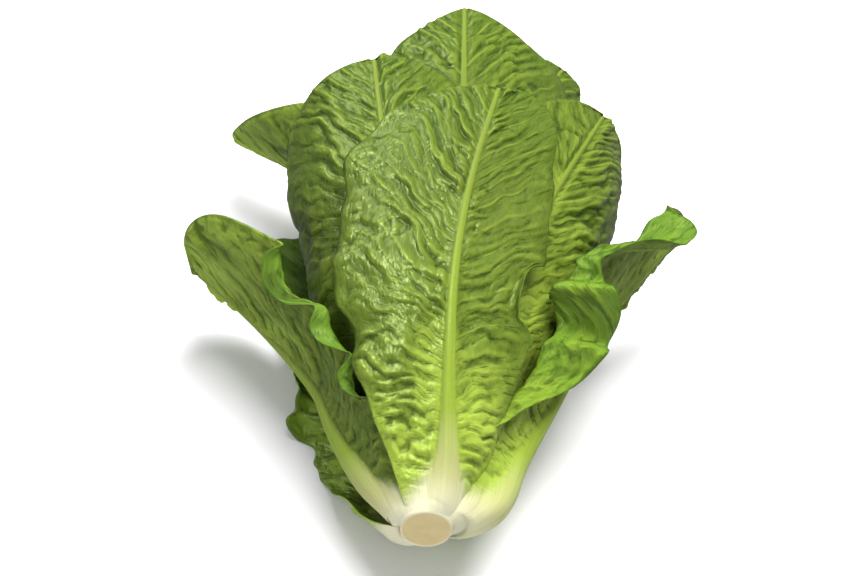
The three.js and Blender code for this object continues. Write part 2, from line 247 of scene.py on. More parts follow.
def slowNoise(x, y, seed):  # smooth value noise, -1 to 1
    ix, iy = np.floor(x), np.floor(y)
    fx, fy = x - ix, y - iy
    fx, fy = fx * fx * (3 - 2 * fx), fy * fy * (3 - 2 * fy)
    low = mix(hashed(ix, iy, seed), hashed(ix + 1, iy, seed), fx)
    high = mix(hashed(ix, iy + 1, seed), hashed(ix + 1, iy + 1, seed), fx)
    return 2 * mix(low, high, fy) - 1


def slowWaves(form, x, y, shift, seed):  # form: height, size each way and its own seed
    height, xSize, ySize, own = form
    return height * slowNoise(x / xSize, y / ySize + shift, seed + own)


def cells(x, y, seed):  # distance to the nearest and to the second nearest cell middle
    first = np.full(x.shape, cellForm["farAway"])
    second = np.full(x.shape, cellForm["farAway"])
    scatter, nextSeed = cellForm["scatter"], seed + cellForm["seedStep"]
    ix, iy = np.floor(x), np.floor(y)
    for dx in (-1, 0, 1):
        for dy in (-1, 0, 1):
            cx, cy = ix + dx, iy + dy
            px = cx + 0.5 + scatter * (hashed(cx, cy, seed) - 0.5)
            py = cy + 0.5 + scatter * (hashed(cx, cy, nextSeed) - 0.5)
            away = np.hypot(px - x, py - y)
            second = np.where(away < first, first, np.minimum(second, away))
            first = np.minimum(first, away)
    return first, second


veins = {
    "count": 34.5, "reference": 207,  # side veins 6 mm apart at the foot, 11 mm near the tip
    "lean": (0.15, 1.05),  # how far a vein climbs per millimetre out, at the foot and the tip
    "bend": (-0.002, 0.014),
    "level": 55,           # veins flatten this far out
    "wander": (2.6, 16, 24, 0), "tremble": (1.2, 5, 9, 4), "sideShift": 9,
    "stagger": 2.7, "lowest": -150, "uneven": 0.3, "unevenSize": 0.7,
    "width": 0.8, "height": 0.35, "fade": (2, 14),
}


def veinPlace(leaf, along, up, reach, side):  # counts the side veins: whole numbers at veins
    seed, shift = leaf["phase"], veins["sideShift"] * side
    out = veins["level"] * (1 - np.exp(-reach / veins["level"]))
    upward = ramp(up, 0, 1)
    climb = mix(*veins["lean"], upward) * out + mix(*veins["bend"], upward) * out * out
    climb = climb * perSide(leaf["climb"], side)
    drift = slowWaves(veins["wander"], reach, along, shift, seed)
    drift += slowWaves(veins["tremble"], reach, along, shift, seed)
    source = np.maximum(along - climb + drift + veins["stagger"] * side, veins["lowest"])
    place = veins["count"] * np.log(1 + source / veins["reference"])
    uneven = slowNoise(place * veins["unevenSize"], 0 * place + side, seed)
    return place + veins["uneven"] * uneven


def outline(leaf, up, side):
    peak, foot = perSide(leaf["peak"], side), perSide(leaf["foot"], side)
    power = perSide(leaf["footPower"], side)
    rise = np.power(np.sin((math.pi / 2) * np.clip(up / peak, 0, 1)), power)
    fall = np.power(np.clip((up - peak) / (1 - peak), 0, 1), leaf["tip"])
    low = foot + (1 - foot) * rise
    high = np.power(np.maximum(1 - fall, 0), 1 / leaf["tip"])
    return np.where(up < peak, low, np.maximum(high, head.narrowest))


margin = {
    "lobeRise": (0.1, 0.3), "lobeTurns": 3.4, "lobeShift": 2,
    "nickRise": (0.15, 0.4), "nickSize": 9, "nickSeed": 3, "sideShift": 7,
    "fineNick": 0.3, "fineSize": 4, "fineSeed": 5, "calmTip": 0.95, "calm": (0.7, 0.88),
}


def halfWidthAt(leaf, up, along, side):
    seed, shift = leaf["phase"], side * margin["sideShift"]
    phase = seed + np.where(side > 0, 0, margin["lobeShift"])
    wave = np.sin(margin["lobeTurns"] * math.pi * leaf["waves"] * up + phase)
    wobble = leaf["lobe"] * ramp(up, *margin["lobeRise"]) * wave
    calm = 1 - margin["calmTip"] * ramp(up, *margin["calm"])
    coarse = slowNoise(along / margin["nickSize"], shift, seed + margin["nickSeed"])
    fine = slowNoise(along / margin["fineSize"], shift, seed + margin["fineSeed"])
    nick = leaf["lobes"] * calm * coarse + margin["fineNick"] * leaf["frill"] * fine
    widest = np.where(side > 0, leaf["right"], leaf["left"])
    width = widest * outline(leaf, up, side) * (1 + wobble)
    return width + nick * ramp(up, *margin["nickRise"])


ruffles = {
    "rise": (0.06, 0.3), "from": 0.3, "hemFrom": 0.5, "power": 1.5, "sideShift": 1.9,
    "second": 0.4, "secondTurns": 2.3, "frillSize": 9, "frillSide": 3, "frillOut": 1.3,
    "frillSeed": 8,
}


def ruffleAt(leaf, up, along, across, side):
    away, rise = np.abs(across), ramp(up, *ruffles["rise"])
    edge, hem = (np.clip((away - start) / (1 - start), 0, 1) ** ruffles["power"]
                 for start in (ruffles["from"], ruffles["hemFrom"]))
    turns = 2 * math.pi * leaf["waves"] * up
    phase = leaf["phase"] + np.where(side > 0, 0, ruffles["sideShift"])
    wave = 1 + np.sin(turns + phase)
    wave += ruffles["second"] * np.sin(ruffles["secondTurns"] * turns + 2 * phase)
    outward = side * ruffles["frillSide"] + away * ruffles["frillOut"]
    frill = slowNoise(along / ruffles["frillSize"], outward,
                      leaf["phase"] + ruffles["frillSeed"])
    lift = perSide(leaf["ruffle"], side) * rise * edge
    return lift * wave + leaf["frill"] * frill * (hem * rise)


rolls = {"power": 3, "least": 0.001, "blend": 0.4, "flatPast": 0.3, "straight": 1e-5}


def arcStep(start, curvature, length):
    straight = rolls["straight"]
    bend = np.where(np.abs(curvature) < straight, straight, curvature)
    x, y, angle = start
    turned = angle + bend * length
    return (x + (np.sin(turned) - np.sin(angle)) / bend,
            y - (np.cos(turned) - np.cos(angle)) / bend, turned)


def curlAt(leaf, up, side):  # how far the margin is rolled, and from which share on
    share = np.zeros(up.shape)
    degrees = np.zeros(up.shape)
    for curlSide, middle, half, turned in leaf["curls"]:
        weight = np.exp(-np.power(np.abs((up - middle) / half), rolls["power"]))
        weight = weight * (side == curlSide)
        share += weight
        degrees += weight * turned
    mean = np.radians(degrees / np.maximum(share, rolls["least"]))
    turned = np.where(share < rolls["least"], 0, mean * ramp(share, 0, rolls["blend"]))
    start = mix(1 - leaf["curlBand"], leaf["curlFrom"], np.minimum(share, 1))
    return turned, start


def crossSection(leaf, up, reach, half, side, radius):  # the cup, a roll, and flat past it
    turned, start = curlAt(leaf, up, side)
    bandStart, band = start * half, leaf["curlBand"] * half
    spot = (np.zeros(up.shape), np.zeros(up.shape), np.zeros(up.shape))
    spot = arcStep(spot, -1 / radius, np.minimum(reach, bandStart))
    spot = arcStep(spot, turned / band - 1 / radius, np.clip(reach - bandStart, 0, band))
    return arcStep(spot, np.where(turned > rolls["flatPast"], 0, -1 / radius),
                   np.maximum(reach - bandStart - band, 0))


bladeForm = {"cupRise": (0.1, 0.5), "rootSink": 8}


def bladePoints(leaf, place, across):
    side = np.sign(across)
    along = mix(leaf["start"], leaf["tipAt"], place)
    up = np.maximum(place, 0)
    azimuth = np.radians(leaf["around"] + leaf["turn"] * (1 - (1 - up) ** 3)
                         + leaf["lateTurn"] * up ** 3)
    level = leaf["level"]
    ribRadius = shellRadius(along, azimuth, level)
    half = halfWidthAt(leaf, up, along, side)
    reach = np.abs(across) * half
    cupRadius = ribRadius * mix(1, leaf["cup"], ramp(up, *bladeForm["cupRise"]))
    x, y, lean = crossSection(leaf, up, reach, half, side, cupRadius)
    ruffle = ruffleAt(leaf, up, along, across, side)
    x, y = x - ruffle * np.sin(lean), y + ruffle * np.cos(lean)

    angle = azimuth + side * np.arctan2(x, ribRadius + y)
    radius = shellRadius(along, angle, level) * np.hypot(x, ribRadius + y) / ribRadius
    if leaf["rooted"]:
        radius = radius - head.stemGap * (1 - ramp(along, 0, bladeForm["rootSink"]))
    splay = np.clip((up - leaf["openFrom"]) / (1 - leaf["openFrom"]), 0, 1) ** leaf["openPower"]
    axisX, axisY, axisZ = axisPoint(along)
    openX, openY, openZ = leaf["open"]
    points = np.stack([axisX + radius * np.sin(angle) + openX * splay,
                       axisY + openY * splay,
                       axisZ + radius * np.cos(angle) + openZ * splay], axis=-1)
    return points, along, reach, half


rib = {
    # the petiole
    "slimming": 0.7, "heightPower": 1.2, "riseFrom": -0.01,
    "swellPower": 0.8, "bulgeAt": 19, "bulgeHalf": 15,
    # the pale cord: its half width and its height
    "tip": 1.0, "swell": 1.9, "foot": 6.5, "footLength": 22,
    "round": 0.55, "roundMost": 3.5, "roundRise": (0.02, 0.15),
}


def ribAt(leaf, up, along, reach):
    half = leaf["ribHalf"] * (1 - rib["slimming"] * up)
    height = leaf["ribHeight"] * (1 - up) ** rib["heightPower"]
    if leaf["rooted"]:  # the foot swells out from the edge of the cut face
        bulge = np.exp(-((along - rib["bulgeAt"]) / rib["bulgeHalf"]) ** 2)
        height = height + leaf["bulge"] * bulge
        grown = 1 - (1 - np.clip(along / leaf["swellBy"], 0, 1)) ** 2
        height = height * grown ** rib["swellPower"]
    else:
        height = height * ramp(up, rib["riseFrom"], leaf["ribFrom"])
    return height * np.exp(-(reach / half) ** 2)


def cordWidthAt(leaf, up, along):  # half width of the pale cord along the middle
    foot = rib["foot"] * np.exp(-along / rib["footLength"])
    return (rib["tip"] + rib["swell"] * (1 - up) + foot) * leaf["cord"]


def cordHeightAt(up, reach, cord):
    height = rib["round"] * np.minimum(cord, rib["roundMost"]) * ramp(up, *rib["roundRise"])
    return height * np.sqrt(np.clip(1 - (reach / cord) ** 2, 0, 1))


folds = {
    "mean": 0.5, "size": 15, "chance": 17, "bandStep": 5.3, "most": 1.3,
    "skew": 0.6, "power": 0.7,
}


def foldsAt(place, reach, side, seed):  # long pillows between side veins, 0 at their creases
    band = np.floor(place)
    chance = hashed(band, side, seed)
    sway = slowNoise(reach / folds["size"] + folds["chance"] * chance,
                     band * folds["bandStep"], seed)
    tall = np.clip(folds["mean"] + sway, 0, folds["most"])
    arch = np.sin(math.pi * np.power(place - band, folds["skew"]))
    return tall * np.power(arch, folds["power"])


# Pairs of heights are for the upper part of a leaf and for its low part, and groups of four
# are slow waves.
puckers = {
    "low": (0.12, 0.42), "far": (34, 50), "waveShift": 30, "cellShift": 40, "slowShift": 20,
    "warps": ((0.25, 6, 7, 3), (0.6, 13, 15, 15)),
    "fineFold": (0.9, 0.8), "fineSeed": 2, "fold": (1.05, 0.5), "farFold": 0.5,
    "blister": (0.42, 0.4), "blisters": 2.1, "blisterLong": 8, "blisterWarp": (0.5, 5, 6, 1),
    "blisterSeam": 0.35, "domeRadius": 0.75,
    "crinkle": (0.22, 0.9), "crinkles": 4.4, "crinkleLong": 6, "crinkleSeed": 6,
    "crumpleSize": 6.5, "crumpleFine": (0.4, 4, 4, 11), "crumpleSeam": 0.4, "crumpleSeed": 5,
    "calm": (0.8, 30, 20, 9), "calmMean": 0.85, "calmRange": (0.55, 1.5),
    "slow": (1, 34, 22, 2),
    "ribClear": 0.9, "ribFade": 3, "marginFade": 5, "startFade": 0.12,
}


def domes(x, y, seed, seam):
    first, second = cells(x, y, seed)
    dome = 1 - np.clip(first / puckers["domeRadius"], 0, 1) ** 2
    return dome * ramp(second - first, 0, seam)


def puckersAt(leaf, place, up, along, reach, side):
    seed, shift = leaf["phase"], puckers["waveShift"] * side
    cellShift = puckers["cellShift"] * side
    low = 1 - ramp(up, *puckers["low"])
    warp = sum(slowWaves(form, reach, along, shift, seed) for form in puckers["warps"])
    fine = foldsAt(2 * place + warp, reach, side, seed + puckers["fineSeed"])
    folded = mix(*puckers["fineFold"], low) * fine
    folded += mix(*puckers["fold"], low) * foldsAt(place + warp, reach, side, seed)
    blisterWarp = slowWaves(puckers["blisterWarp"], reach, along, 0, seed)
    blister = domes(place * puckers["blisters"] + blisterWarp,
                    reach / puckers["blisterLong"] + cellShift, seed, puckers["blisterSeam"])
    crinkle = slowNoise(place * puckers["crinkles"], reach / puckers["crinkleLong"] + shift,
                        seed + puckers["crinkleSeed"])
    near = folded + mix(*puckers["blister"], low) * blister
    near += mix(*puckers["crinkle"], low) * crinkle
    size = puckers["crumpleSize"]
    crumple = domes(along / size, reach / size + cellShift, seed + puckers["crumpleSeed"],
                    puckers["crumpleSeam"])
    crumple += slowWaves(puckers["crumpleFine"], along, reach, shift, seed)
    far = puckers["farFold"] * folded + leaf["crumple"] * crumple
    return mix(near, far, ramp(reach, *puckers["far"]))


def relief(leaf, up, along, reach, half, side):
    seed, shift = leaf["phase"], puckers["slowShift"] * side
    place = veinPlace(leaf, along, up, reach, side)
    calm = puckers["calmMean"] + slowWaves(puckers["calm"], along, reach, shift, seed)
    strength = leaf["puff"] * np.clip(calm, *puckers["calmRange"])
    spacing = (veins["reference"] + along) / veins["count"]
    fromVein = np.abs(place - np.round(place)) * spacing
    ridge = np.exp(-(fromVein / veins["width"]) ** 2) * ramp(half - reach, *veins["fade"])
    cord = cordWidthAt(leaf, up, along)
    clear = ramp(reach, cord * puckers["ribClear"], cord + puckers["ribFade"])
    clear = clear * ramp(half - reach, 0, puckers["marginFade"])
    clear = clear * ramp(up, leaf["puffFrom"], leaf["puffFrom"] + puckers["startFade"])
    slow = slowWaves(puckers["slow"], along, reach, shift, seed)
    pucker = puckersAt(leaf, place, up, along, reach, side)
    height = strength * pucker + veins["height"] * ridge + leaf["swale"] * slow
    return height * clear, place, cord


def blurred(sheet, times):  # along the columns, then along the rows
    for padding in (((1, 1), (0, 0)), ((0, 0), (1, 1))):
        for _ in range(times):
            padded = np.pad(sheet, padding, "edge")
            if padding[0] == (1, 1):
                low, high = padded[:-2], padded[2:]
            else:
                low, high = padded[:, :-2], padded[:, 2:]
            sheet = 0.5 * sheet + 0.25 * (low + high)
    return sheet


def slab(name, columns, rows):  # a flat grid with a second sheet under it, closed all round
    form = bmesh.new()
    bmesh.ops.create_grid(form, x_segments=columns, y_segments=rows, size=1)
    under = bmesh.ops.extrude_face_region(form, geom=form.faces[:], use_keep_orig=True)
    underVerts = [item for item in under["geom"] if isinstance(item, bmesh.types.BMVert)]
    bmesh.ops.translate(form, verts=underVerts, vec=(0, 0, -1))
    bmesh.ops.recalc_face_normals(form, faces=form.faces)
    for face in form.faces:
        face.smooth = True
        face.material_index = 1 if face.normal.z < -0.5 else 0
    return asMesh(form, name)


def asMesh(form, name):
    mesh = bpy.data.meshes.new(name)
    form.to_mesh(mesh)
    form.free()
    return mesh


def vertexPlaces(mesh):
    flat = np.empty(len(mesh.vertices) * 3)
    mesh.vertices.foreach_get("co", flat)
    return flat.reshape(-1, 3)


def addValues(mesh, name, values):
    layer = mesh.attributes.new(name, "FLOAT", "POINT")
    layer.data.foreach_set("value", values.astype(np.float32))


def addObject(mesh, materials):
    for material in materials:
        mesh.materials.append(material)
    piece = bpy.data.objects.new(mesh.name, mesh)
    bpy.context.collection.objects.link(piece)
    return piece


slabForm = {
    # shares of even spacing and of spacing that closes up, to the rib and to the tip
    "across": (0.55, 0.45), "up": (0.45, 0.55),
    "edgeFade": (10, 60), "hem": (0.93, 1.0), "hemThinning": 0.4, "rootThin": 4,
    "dipBlur": 14, "dipFull": 0.6, "paleOut": 1.3, "pale": (4, 34), "underRise": 0.5,
}
perCm = 10  # the looks read lengths in centimetres
leafValues = ("tone", "place", "reach", "margin", "along", "across", "cord", "dip", "pale")


def leafPiece(leaf, materials):
    length = leaf["tipAt"] - leaf["start"]
    rows = int(length / leaf["spacing"])
    columns = 2 * int((leaf["left"] + leaf["right"]) / 2 / leaf["spacing"])
    mesh = slab(leaf["name"] + "_blade", columns, rows)
    flat = vertexPlaces(mesh)
    order = np.lexsort((flat[:, 0].round(6), flat[:, 1].round(6), flat[:, 2] > -0.5))
    inside, outside = np.split(order, 2)

    column, row = flat[outside, 0], (flat[outside, 1] + 1) / 2
    even, closing = slabForm["across"]
    across = even * column + closing * column * np.abs(column)
    side = np.where(across < 0, -1.0, 1.0)
    root = -leaf["start"] / length if leaf["rooted"] else 0
    even, closing = slabForm["up"]
    rowAt = mix(root, 1, even * row + closing * np.sin((math.pi / 2) * row))
    up = np.maximum(rowAt, 0)
    middle, along, reach, half = bladePoints(leaf, rowAt, across)

    shape = (rows + 1, columns + 1)
    sheet = middle.reshape(*shape, 3)
    normal = np.cross(np.gradient(sheet, axis=1), np.gradient(sheet, axis=0))
    normal /= np.maximum(np.linalg.norm(normal, axis=2, keepdims=True), 1e-9)
    normal = normal.reshape(-1, 3)
    bump, place, cord = relief(leaf, up, along, reach, half, side)
    edge = 1 - np.abs(across) ** 3 * (1 - ramp(along, *slabForm["edgeFade"]))
    swell = ribAt(leaf, up, along, reach) * edge + cordHeightAt(up, reach, cord)
    thin = 1 - slabForm["hemThinning"] * ramp(np.abs(across), *slabForm["hem"])
    if leaf["rooted"]:
        thin = thin * ramp(along, 0, slabForm["rootThin"])
    out = middle + normal * (thin * head.blade / 2 + swell + bump)[:, None]
    under = middle + normal * (bump - thin * head.blade / 2)[:, None]
    for points, least in ((out, 0.0), (under, slabForm["underRise"])):
        points[:, 2] = np.where(points[:, 2] < head.flatSpot, least, points[:, 2])
    placed = np.empty_like(flat)
    placed[outside], placed[inside] = out * mm, under * mm
    mesh.vertices.foreach_set("co", placed.ravel())

    # dip: how far the bump lies below its blurred surroundings, which sets the painted shade in
    # hollows and the painted highlight on crests
    bumps = bump.reshape(shape)
    dip = (blurred(bumps, slabForm["dipBlur"]) - bumps) / slabForm["dipFull"]
    pale = along + slabForm["paleOut"] * np.maximum(reach - cord, 0)
    values = (mix(*leaf["tone"], up), place, reach / perCm, (half - reach) / perCm,
              along / perCm, across, reach / cord, np.clip(dip, -1, 1).ravel(),
              1 - ramp(pale, *slabForm["pale"]))
    for name, value in zip(leafValues, values):
        ordered = np.empty(len(flat))
        ordered[outside] = ordered[inside] = value
        addValues(mesh, name, ordered)
    return addObject(mesh, materials)


class NodeGraph:  # the nodes of a material or a world, and short ways to add and join them
    def __init__(self, tree):
        self.nodes, self.links = tree.nodes, tree.links

    def join(self, socket, value):
        if hasattr(value, "links"):
            self.links.new(value, socket)
        else:
            socket.default_value = value

    def add(self, kind, inputs, **settings):
        node = self.nodes.new("ShaderNode" + kind)
        for name, value in settings.items():
            setattr(node, name, value)
        for key, value in inputs.items():
            self.join(node.inputs[key], value)
        return node

    def op(self, operation, a, b=0.0, c=0.0, clamp=False):
        return self.add("Math", {0: a, 1: b, 2: c}, operation=operation, use_clamp=clamp).outputs[0]

    def times(self, first, *others):
        for other in others:
            first = self.op("MULTIPLY", first, other)
        return first

    def timesPlus(self, value, factor, added, clamp=False):
        return self.op("MULTIPLY_ADD", value, factor, added, clamp)

    def minus(self, a, b, clamp=False):
        return self.op("SUBTRACT", a, b, clamp=clamp)

    def larger(self, a, b):
        return self.op("MAXIMUM", a, b)

    def fromWhole(self, value):  # how far a value is from the nearest whole number
        return self.op("ABSOLUTE", self.minus(value, self.op("ROUND", value)))

    def span(self, value, low, high, toLow=0.0, toHigh=1.0):  # a smooth step
        inputs = {"From Min": low, "From Max": high, "To Min": toLow, "To Max": toHigh,
                  "Value": value}
        return self.add("MapRange", inputs, interpolation_type="SMOOTHSTEP").outputs["Result"]

    def mixed(self, share, a, b, blend="MIX"):
        inputs = {0: share, 6: a, 7: b}  # sockets 6 and 7 are the two colors
        return self.add("Mix", inputs, data_type="RGBA", blend_type=blend).outputs[2]

    def colorRamp(self, value, stops):
        node = self.add("ValToRGB", {0: value})
        elements = node.color_ramp.elements
        while len(elements) < len(stops):
            elements.new(0.5)
        for element, (place, color) in zip(elements, stops):
            element.position = place
            element.color = color
        return node.outputs[0]

    def vector(self, x, y, z):
        return self.add("CombineXYZ", {0: x, 1: y, 2: z}).outputs[0]

    def noise(self, vector, scale, detail):
        inputs = {"Scale": scale, "Detail": detail, "Vector": vector}
        return self.add("TexNoise", inputs).outputs["Fac"]

    def surface(self, name):
        return self.add("Attribute", {}, attribute_name=name).outputs["Fac"]

    def bump(self, height, strength, distance):
        inputs = {"Strength": strength, "Distance": distance, "Height": height}
        return self.add("Bump", inputs).outputs[0]

    def shade(self, inputs):
        shader = self.nodes["Principled BSDF"]
        for name, value in inputs.items():
            self.join(shader.inputs[name], value)


def newMaterial(name):
    material = bpy.data.materials.new(name)
    material.use_nodes = True
    return material, NodeGraph(material.node_tree)


def srgb(red, green, blue):  # levels of 0 to 255 as a linear color
    def linear(level):
        level /= 255
        return level / 12.92 if level <= 0.04045 else ((level + 0.055) / 1.055) ** 2.4
    return (*(linear(level) for level in (red, green, blue)), 1)


# In each finish, deep is painted shade for the hollows and the creases, and vein is the veins' own
# paler colour that also serves as a painted highlight on raised crests.
outerFinish = {
    "foot": srgb(198, 196, 168), "footHigh": srgb(174, 174, 120),
    "low": srgb(146, 169, 62), "mid": srgb(83, 102, 31),
    "high": srgb(75, 91, 29), "tip": srgb(71, 90, 26),
    "ribLow": srgb(130, 152, 50), "ribHigh": srgb(108, 124, 44), "vein": srgb(125, 142, 50),
    "deep": srgb(32, 54, 12), "roughness": 0.33, "bump": 0.32,
}
innerFinish = {
    "foot": srgb(177, 175, 145), "footHigh": srgb(153, 160, 88),
    "low": srgb(128, 152, 46), "mid": srgb(88, 120, 34),
    "high": srgb(70, 104, 30), "tip": srgb(62, 90, 26),
    "ribLow": srgb(123, 142, 53), "ribHigh": srgb(103, 121, 44), "vein": srgb(109, 134, 46),
    "deep": srgb(35, 53, 11), "roughness": 0.48, "bump": 0.45,
}
heartFinish = {
    "foot": srgb(190, 186, 158), "footHigh": srgb(182, 180, 129),
    "low": srgb(175, 177, 98), "mid": srgb(161, 170, 71),
    "high": srgb(139, 156, 56), "tip": srgb(120, 141, 44),
    "ribLow": srgb(182, 182, 129), "ribHigh": srgb(156, 166, 88), "vein": srgb(166, 173, 96),
    "deep": srgb(110, 123, 40), "roughness": 0.31, "bump": 0.45,
}

# In the looks below a stretch has a factor each way and a noise its scale and detail. The
# other groups are limits of a smooth step: from low and high, and to low and high.
patternLook = {
    "sideShift": 37.0, "flowStretch": 1.6, "broadStretch": 0.5, "wrinkleStretch": (3.6, 2.0),
    "patch": (0.7, 4), "fleck": (2.2, 5), "wrinkle": (1.0, 3), "netScale": 2.6,
}


def leafPatterns(graph):  # the values that the mesh carries, and the noises that follow them
    leaf = SimpleNamespace(**{name: graph.surface(name) for name in leafValues})
    look = patternLook
    shift = graph.times(graph.op("SIGN", leaf.across), look["sideShift"])
    leaf.flow = graph.vector(leaf.place, graph.times(leaf.reach, look["flowStretch"]), shift)
    broad = graph.vector(graph.times(leaf.along, look["broadStretch"]), leaf.reach, shift)
    leaf.patch = graph.minus(graph.noise(broad, *look["patch"]), 0.5)
    leaf.fleck = graph.minus(graph.noise(leaf.flow, *look["fleck"]), 0.5)
    placeStretch, reachStretch = look["wrinkleStretch"]
    creased = graph.vector(graph.times(leaf.place, placeStretch),
                           graph.times(leaf.reach, reachStretch), shift)
    leaf.wrinkle = graph.noise(creased, *look["wrinkle"])
    net = graph.add("TexVoronoi", {"Scale": look["netScale"], "Vector": leaf.flow},
                    feature="DISTANCE_TO_EDGE")
    leaf.net = net.outputs["Distance"]
    leaf.offVein = graph.times(graph.fromWhole(leaf.place), 2.0)
    return leaf


greenLook = {
    "reachMost": 3.0, "reach": 0.05, "patch": 0.5, "fleck": 0.22,
    "low": 0.2, "mid": 0.48, "high": 0.8, "tip": 1.0,
    # the last groups set the painted shade in the hollows and the painted highlight on the crests
    "sunk": 1.6, "hollow": (0.0, 0.9), "shadeByTone": (0.1, 0.5, 0.55, 0.76),
    "raised": (0.0, -0.9), "highlightMost": 0.3,
}


def bladeColor(graph, leaf, finish):  # greener up the leaf, and out from the rib, with painted shade in its hollows and a painted highlight on its crests
    look = greenLook
    out = graph.op("MINIMUM", leaf.reach, look["reachMost"])
    green = graph.timesPlus(out, look["reach"], leaf.tone)
    green = graph.timesPlus(leaf.fleck, look["fleck"], green)
    green = graph.timesPlus(leaf.patch, look["patch"], green)
    blade = graph.colorRamp(green, [(look[key], finish[key])
                                    for key in ("low", "mid", "high", "tip")])
    # painted shade: darker where the surface dips below its surroundings and in the wrinkles' low
    # spots
    sunk = graph.timesPlus(graph.minus(0.5, leaf.wrinkle), look["sunk"], leaf.dip)
    hollow = graph.times(graph.span(sunk, *look["hollow"]),
                         graph.span(leaf.tone, *look["shadeByTone"]))
    color = graph.mixed(hollow, blade, finish["deep"])
    # painted highlight: paler where the surface rises above its surroundings
    raised = graph.times(graph.span(leaf.dip, *look["raised"]), look["highlightMost"])
    return graph.mixed(raised, color, finish["vein"])


veinLook = {
    "width": (0.2, 3.2, 0.24, 0.1), "atMargin": (0.2, 1.6, 0.1, 1.0),
    "gaps": (0.8, 2), "gapSpan": (0.35, 0.6), "netLine": (0.0, 0.12, 1.0, 0.0),
    "veinMost": 0.5, "netMost": 0.12,
}


def veinLines(graph, leaf, finish, color):  # the side veins and the net between them
    look = veinLook
    width = graph.span(leaf.reach, *look["width"])
    line = graph.minus(1.0, graph.op("DIVIDE", leaf.offVein, width), clamp=True)
    line = graph.times(line, graph.span(leaf.margin, *look["atMargin"]),
                       graph.span(graph.noise(leaf.flow, *look["gaps"]), *look["gapSpan"]))
    netLine = graph.span(leaf.net, *look["netLine"])
    lines = graph.larger(graph.times(line, look["veinMost"]),
                         graph.times(netLine, look["netMost"]))
    return graph.mixed(lines, color, finish["vein"])


creaseLook = {
    "perVein": 2.0, "fleck": 0.5, "offset": 0.14, "line": (0.02, 0.12, 1.0, 0.0),
    "gaps": (1.5, 2), "gapSpan": (0.4, 0.56), "fromRib": (2.2, 4.2, 1.0, 0.35),
    "upLeaf": (1.5, 5.5, 0.1, 1.0), "onPale": (0.0, 0.3, 1.0, 0.1),
    "inDips": (-0.6, 0.2, 0.15, 0.7),
}


def creaseLines(graph, leaf):  # painted shade: thin dark lines along the creases beside the veins and midway between them
    look = creaseLook
    offset = graph.timesPlus(leaf.fleck, look["fleck"], look["offset"])
    fold = graph.timesPlus(leaf.place, look["perVein"], offset)
    line = graph.span(graph.fromWhole(fold), *look["line"])
    broken = graph.span(graph.noise(leaf.flow, *look["gaps"]), *look["gapSpan"])
    return graph.times(line, broken, graph.span(leaf.reach, *look["fromRib"]),
                       graph.span(leaf.along, *look["upLeaf"]),
                       graph.span(leaf.pale, *look["onPale"]),
                       graph.span(leaf.dip, *look["inDips"]))


footLook = {
    "fibreStretch": (34.0, 0.25), "fibres": (1.0, 3), "fibreReach": 0.5, "share": (0.05, 0.9),
    "footScale": 0.2, "footStops": {"foot": 0.1, "footHigh": 0.5},
    "rib": (0.7, 1.15, 1.0, 0.0), "ribScale": 0.066, "ribMost": 0.9,
    "ribStops": {"foot": 0.02, "footHigh": 0.11, "ribLow": 0.28, "ribHigh": 1.0},
    "streak": (0.25, 0.75, 0.84, 1.1), "fibrous": 0.6,
}


def footAndRib(graph, leaf, finish, color):  # the pale foot and the midrib with their fibres
    look = footLook
    acrossStretch, alongStretch = look["fibreStretch"]
    strands = graph.vector(graph.times(leaf.across, acrossStretch),
                           graph.times(leaf.along, alongStretch), 0.0)
    leaf.fibres = graph.noise(strands, *look["fibres"])
    reachUp = graph.timesPlus(graph.minus(leaf.fibres, 0.5), look["fibreReach"], leaf.pale,
                              clamp=True)
    footShare = graph.span(reachUp, *look["share"])
    ribShare = graph.span(leaf.cord, *look["rib"])
    leaf.stalk = graph.larger(footShare, ribShare)
    leaf.fibrous = graph.times(leaf.stalk, look["fibrous"])
    for share, scale, stops in (
            (footShare, look["footScale"], look["footStops"]),
            (graph.times(ribShare, look["ribMost"]), look["ribScale"], look["ribStops"])):
        pale = graph.colorRamp(graph.times(leaf.along, scale),
                               [(at, finish[key]) for key, at in stops.items()])
        color = graph.mixed(share, color, pale)
    streak = graph.span(leaf.fibres, *look["streak"])
    return graph.mixed(leaf.fibrous, color, streak, "MULTIPLY")


reliefLook = {
    "domes": (0.0, 0.35), "domeHeight": 0.3, "grain": (5.0, 2), "grainHeight": 0.2,
    "wrinkleByTone": (0.1, 0.6, 2.6, 0.5), "besideVein": (0.1, 0.4), "besideHeight": 0.2,
    "creaseHeight": -0.5, "fibreHeight": 0.7, "distance": 0.001,
}


def fineRelief(graph, leaf, creases, finish):  # finer than the mesh
    look = reliefLook
    domed = graph.times(graph.span(leaf.net, *look["domes"]), look["domeHeight"])
    height = graph.timesPlus(graph.noise(leaf.flow, *look["grain"]), look["grainHeight"], domed)
    height = graph.timesPlus(leaf.wrinkle, graph.span(leaf.tone, *look["wrinkleByTone"]), height)
    beside = graph.span(leaf.offVein, *look["besideVein"])
    height = graph.timesPlus(beside, look["besideHeight"], height)
    height = graph.timesPlus(creases, look["creaseHeight"], height)
    height = graph.times(height, graph.minus(1.0, leaf.stalk))
    fibres = graph.times(leaf.fibres, leaf.fibrous)
    height = graph.timesPlus(fibres, look["fibreHeight"], height)
    return graph.bump(height, finish["bump"], look["distance"])


wetLook = {
    "fleck": 0.25, "stalk": 0.15, "specular": 0.4, "tint": (0.8, 1, 0.5, 1),
    "subsurface": 0.12, "scale": 0.003, "radius": (0.6, 1.0, 0.2),
}


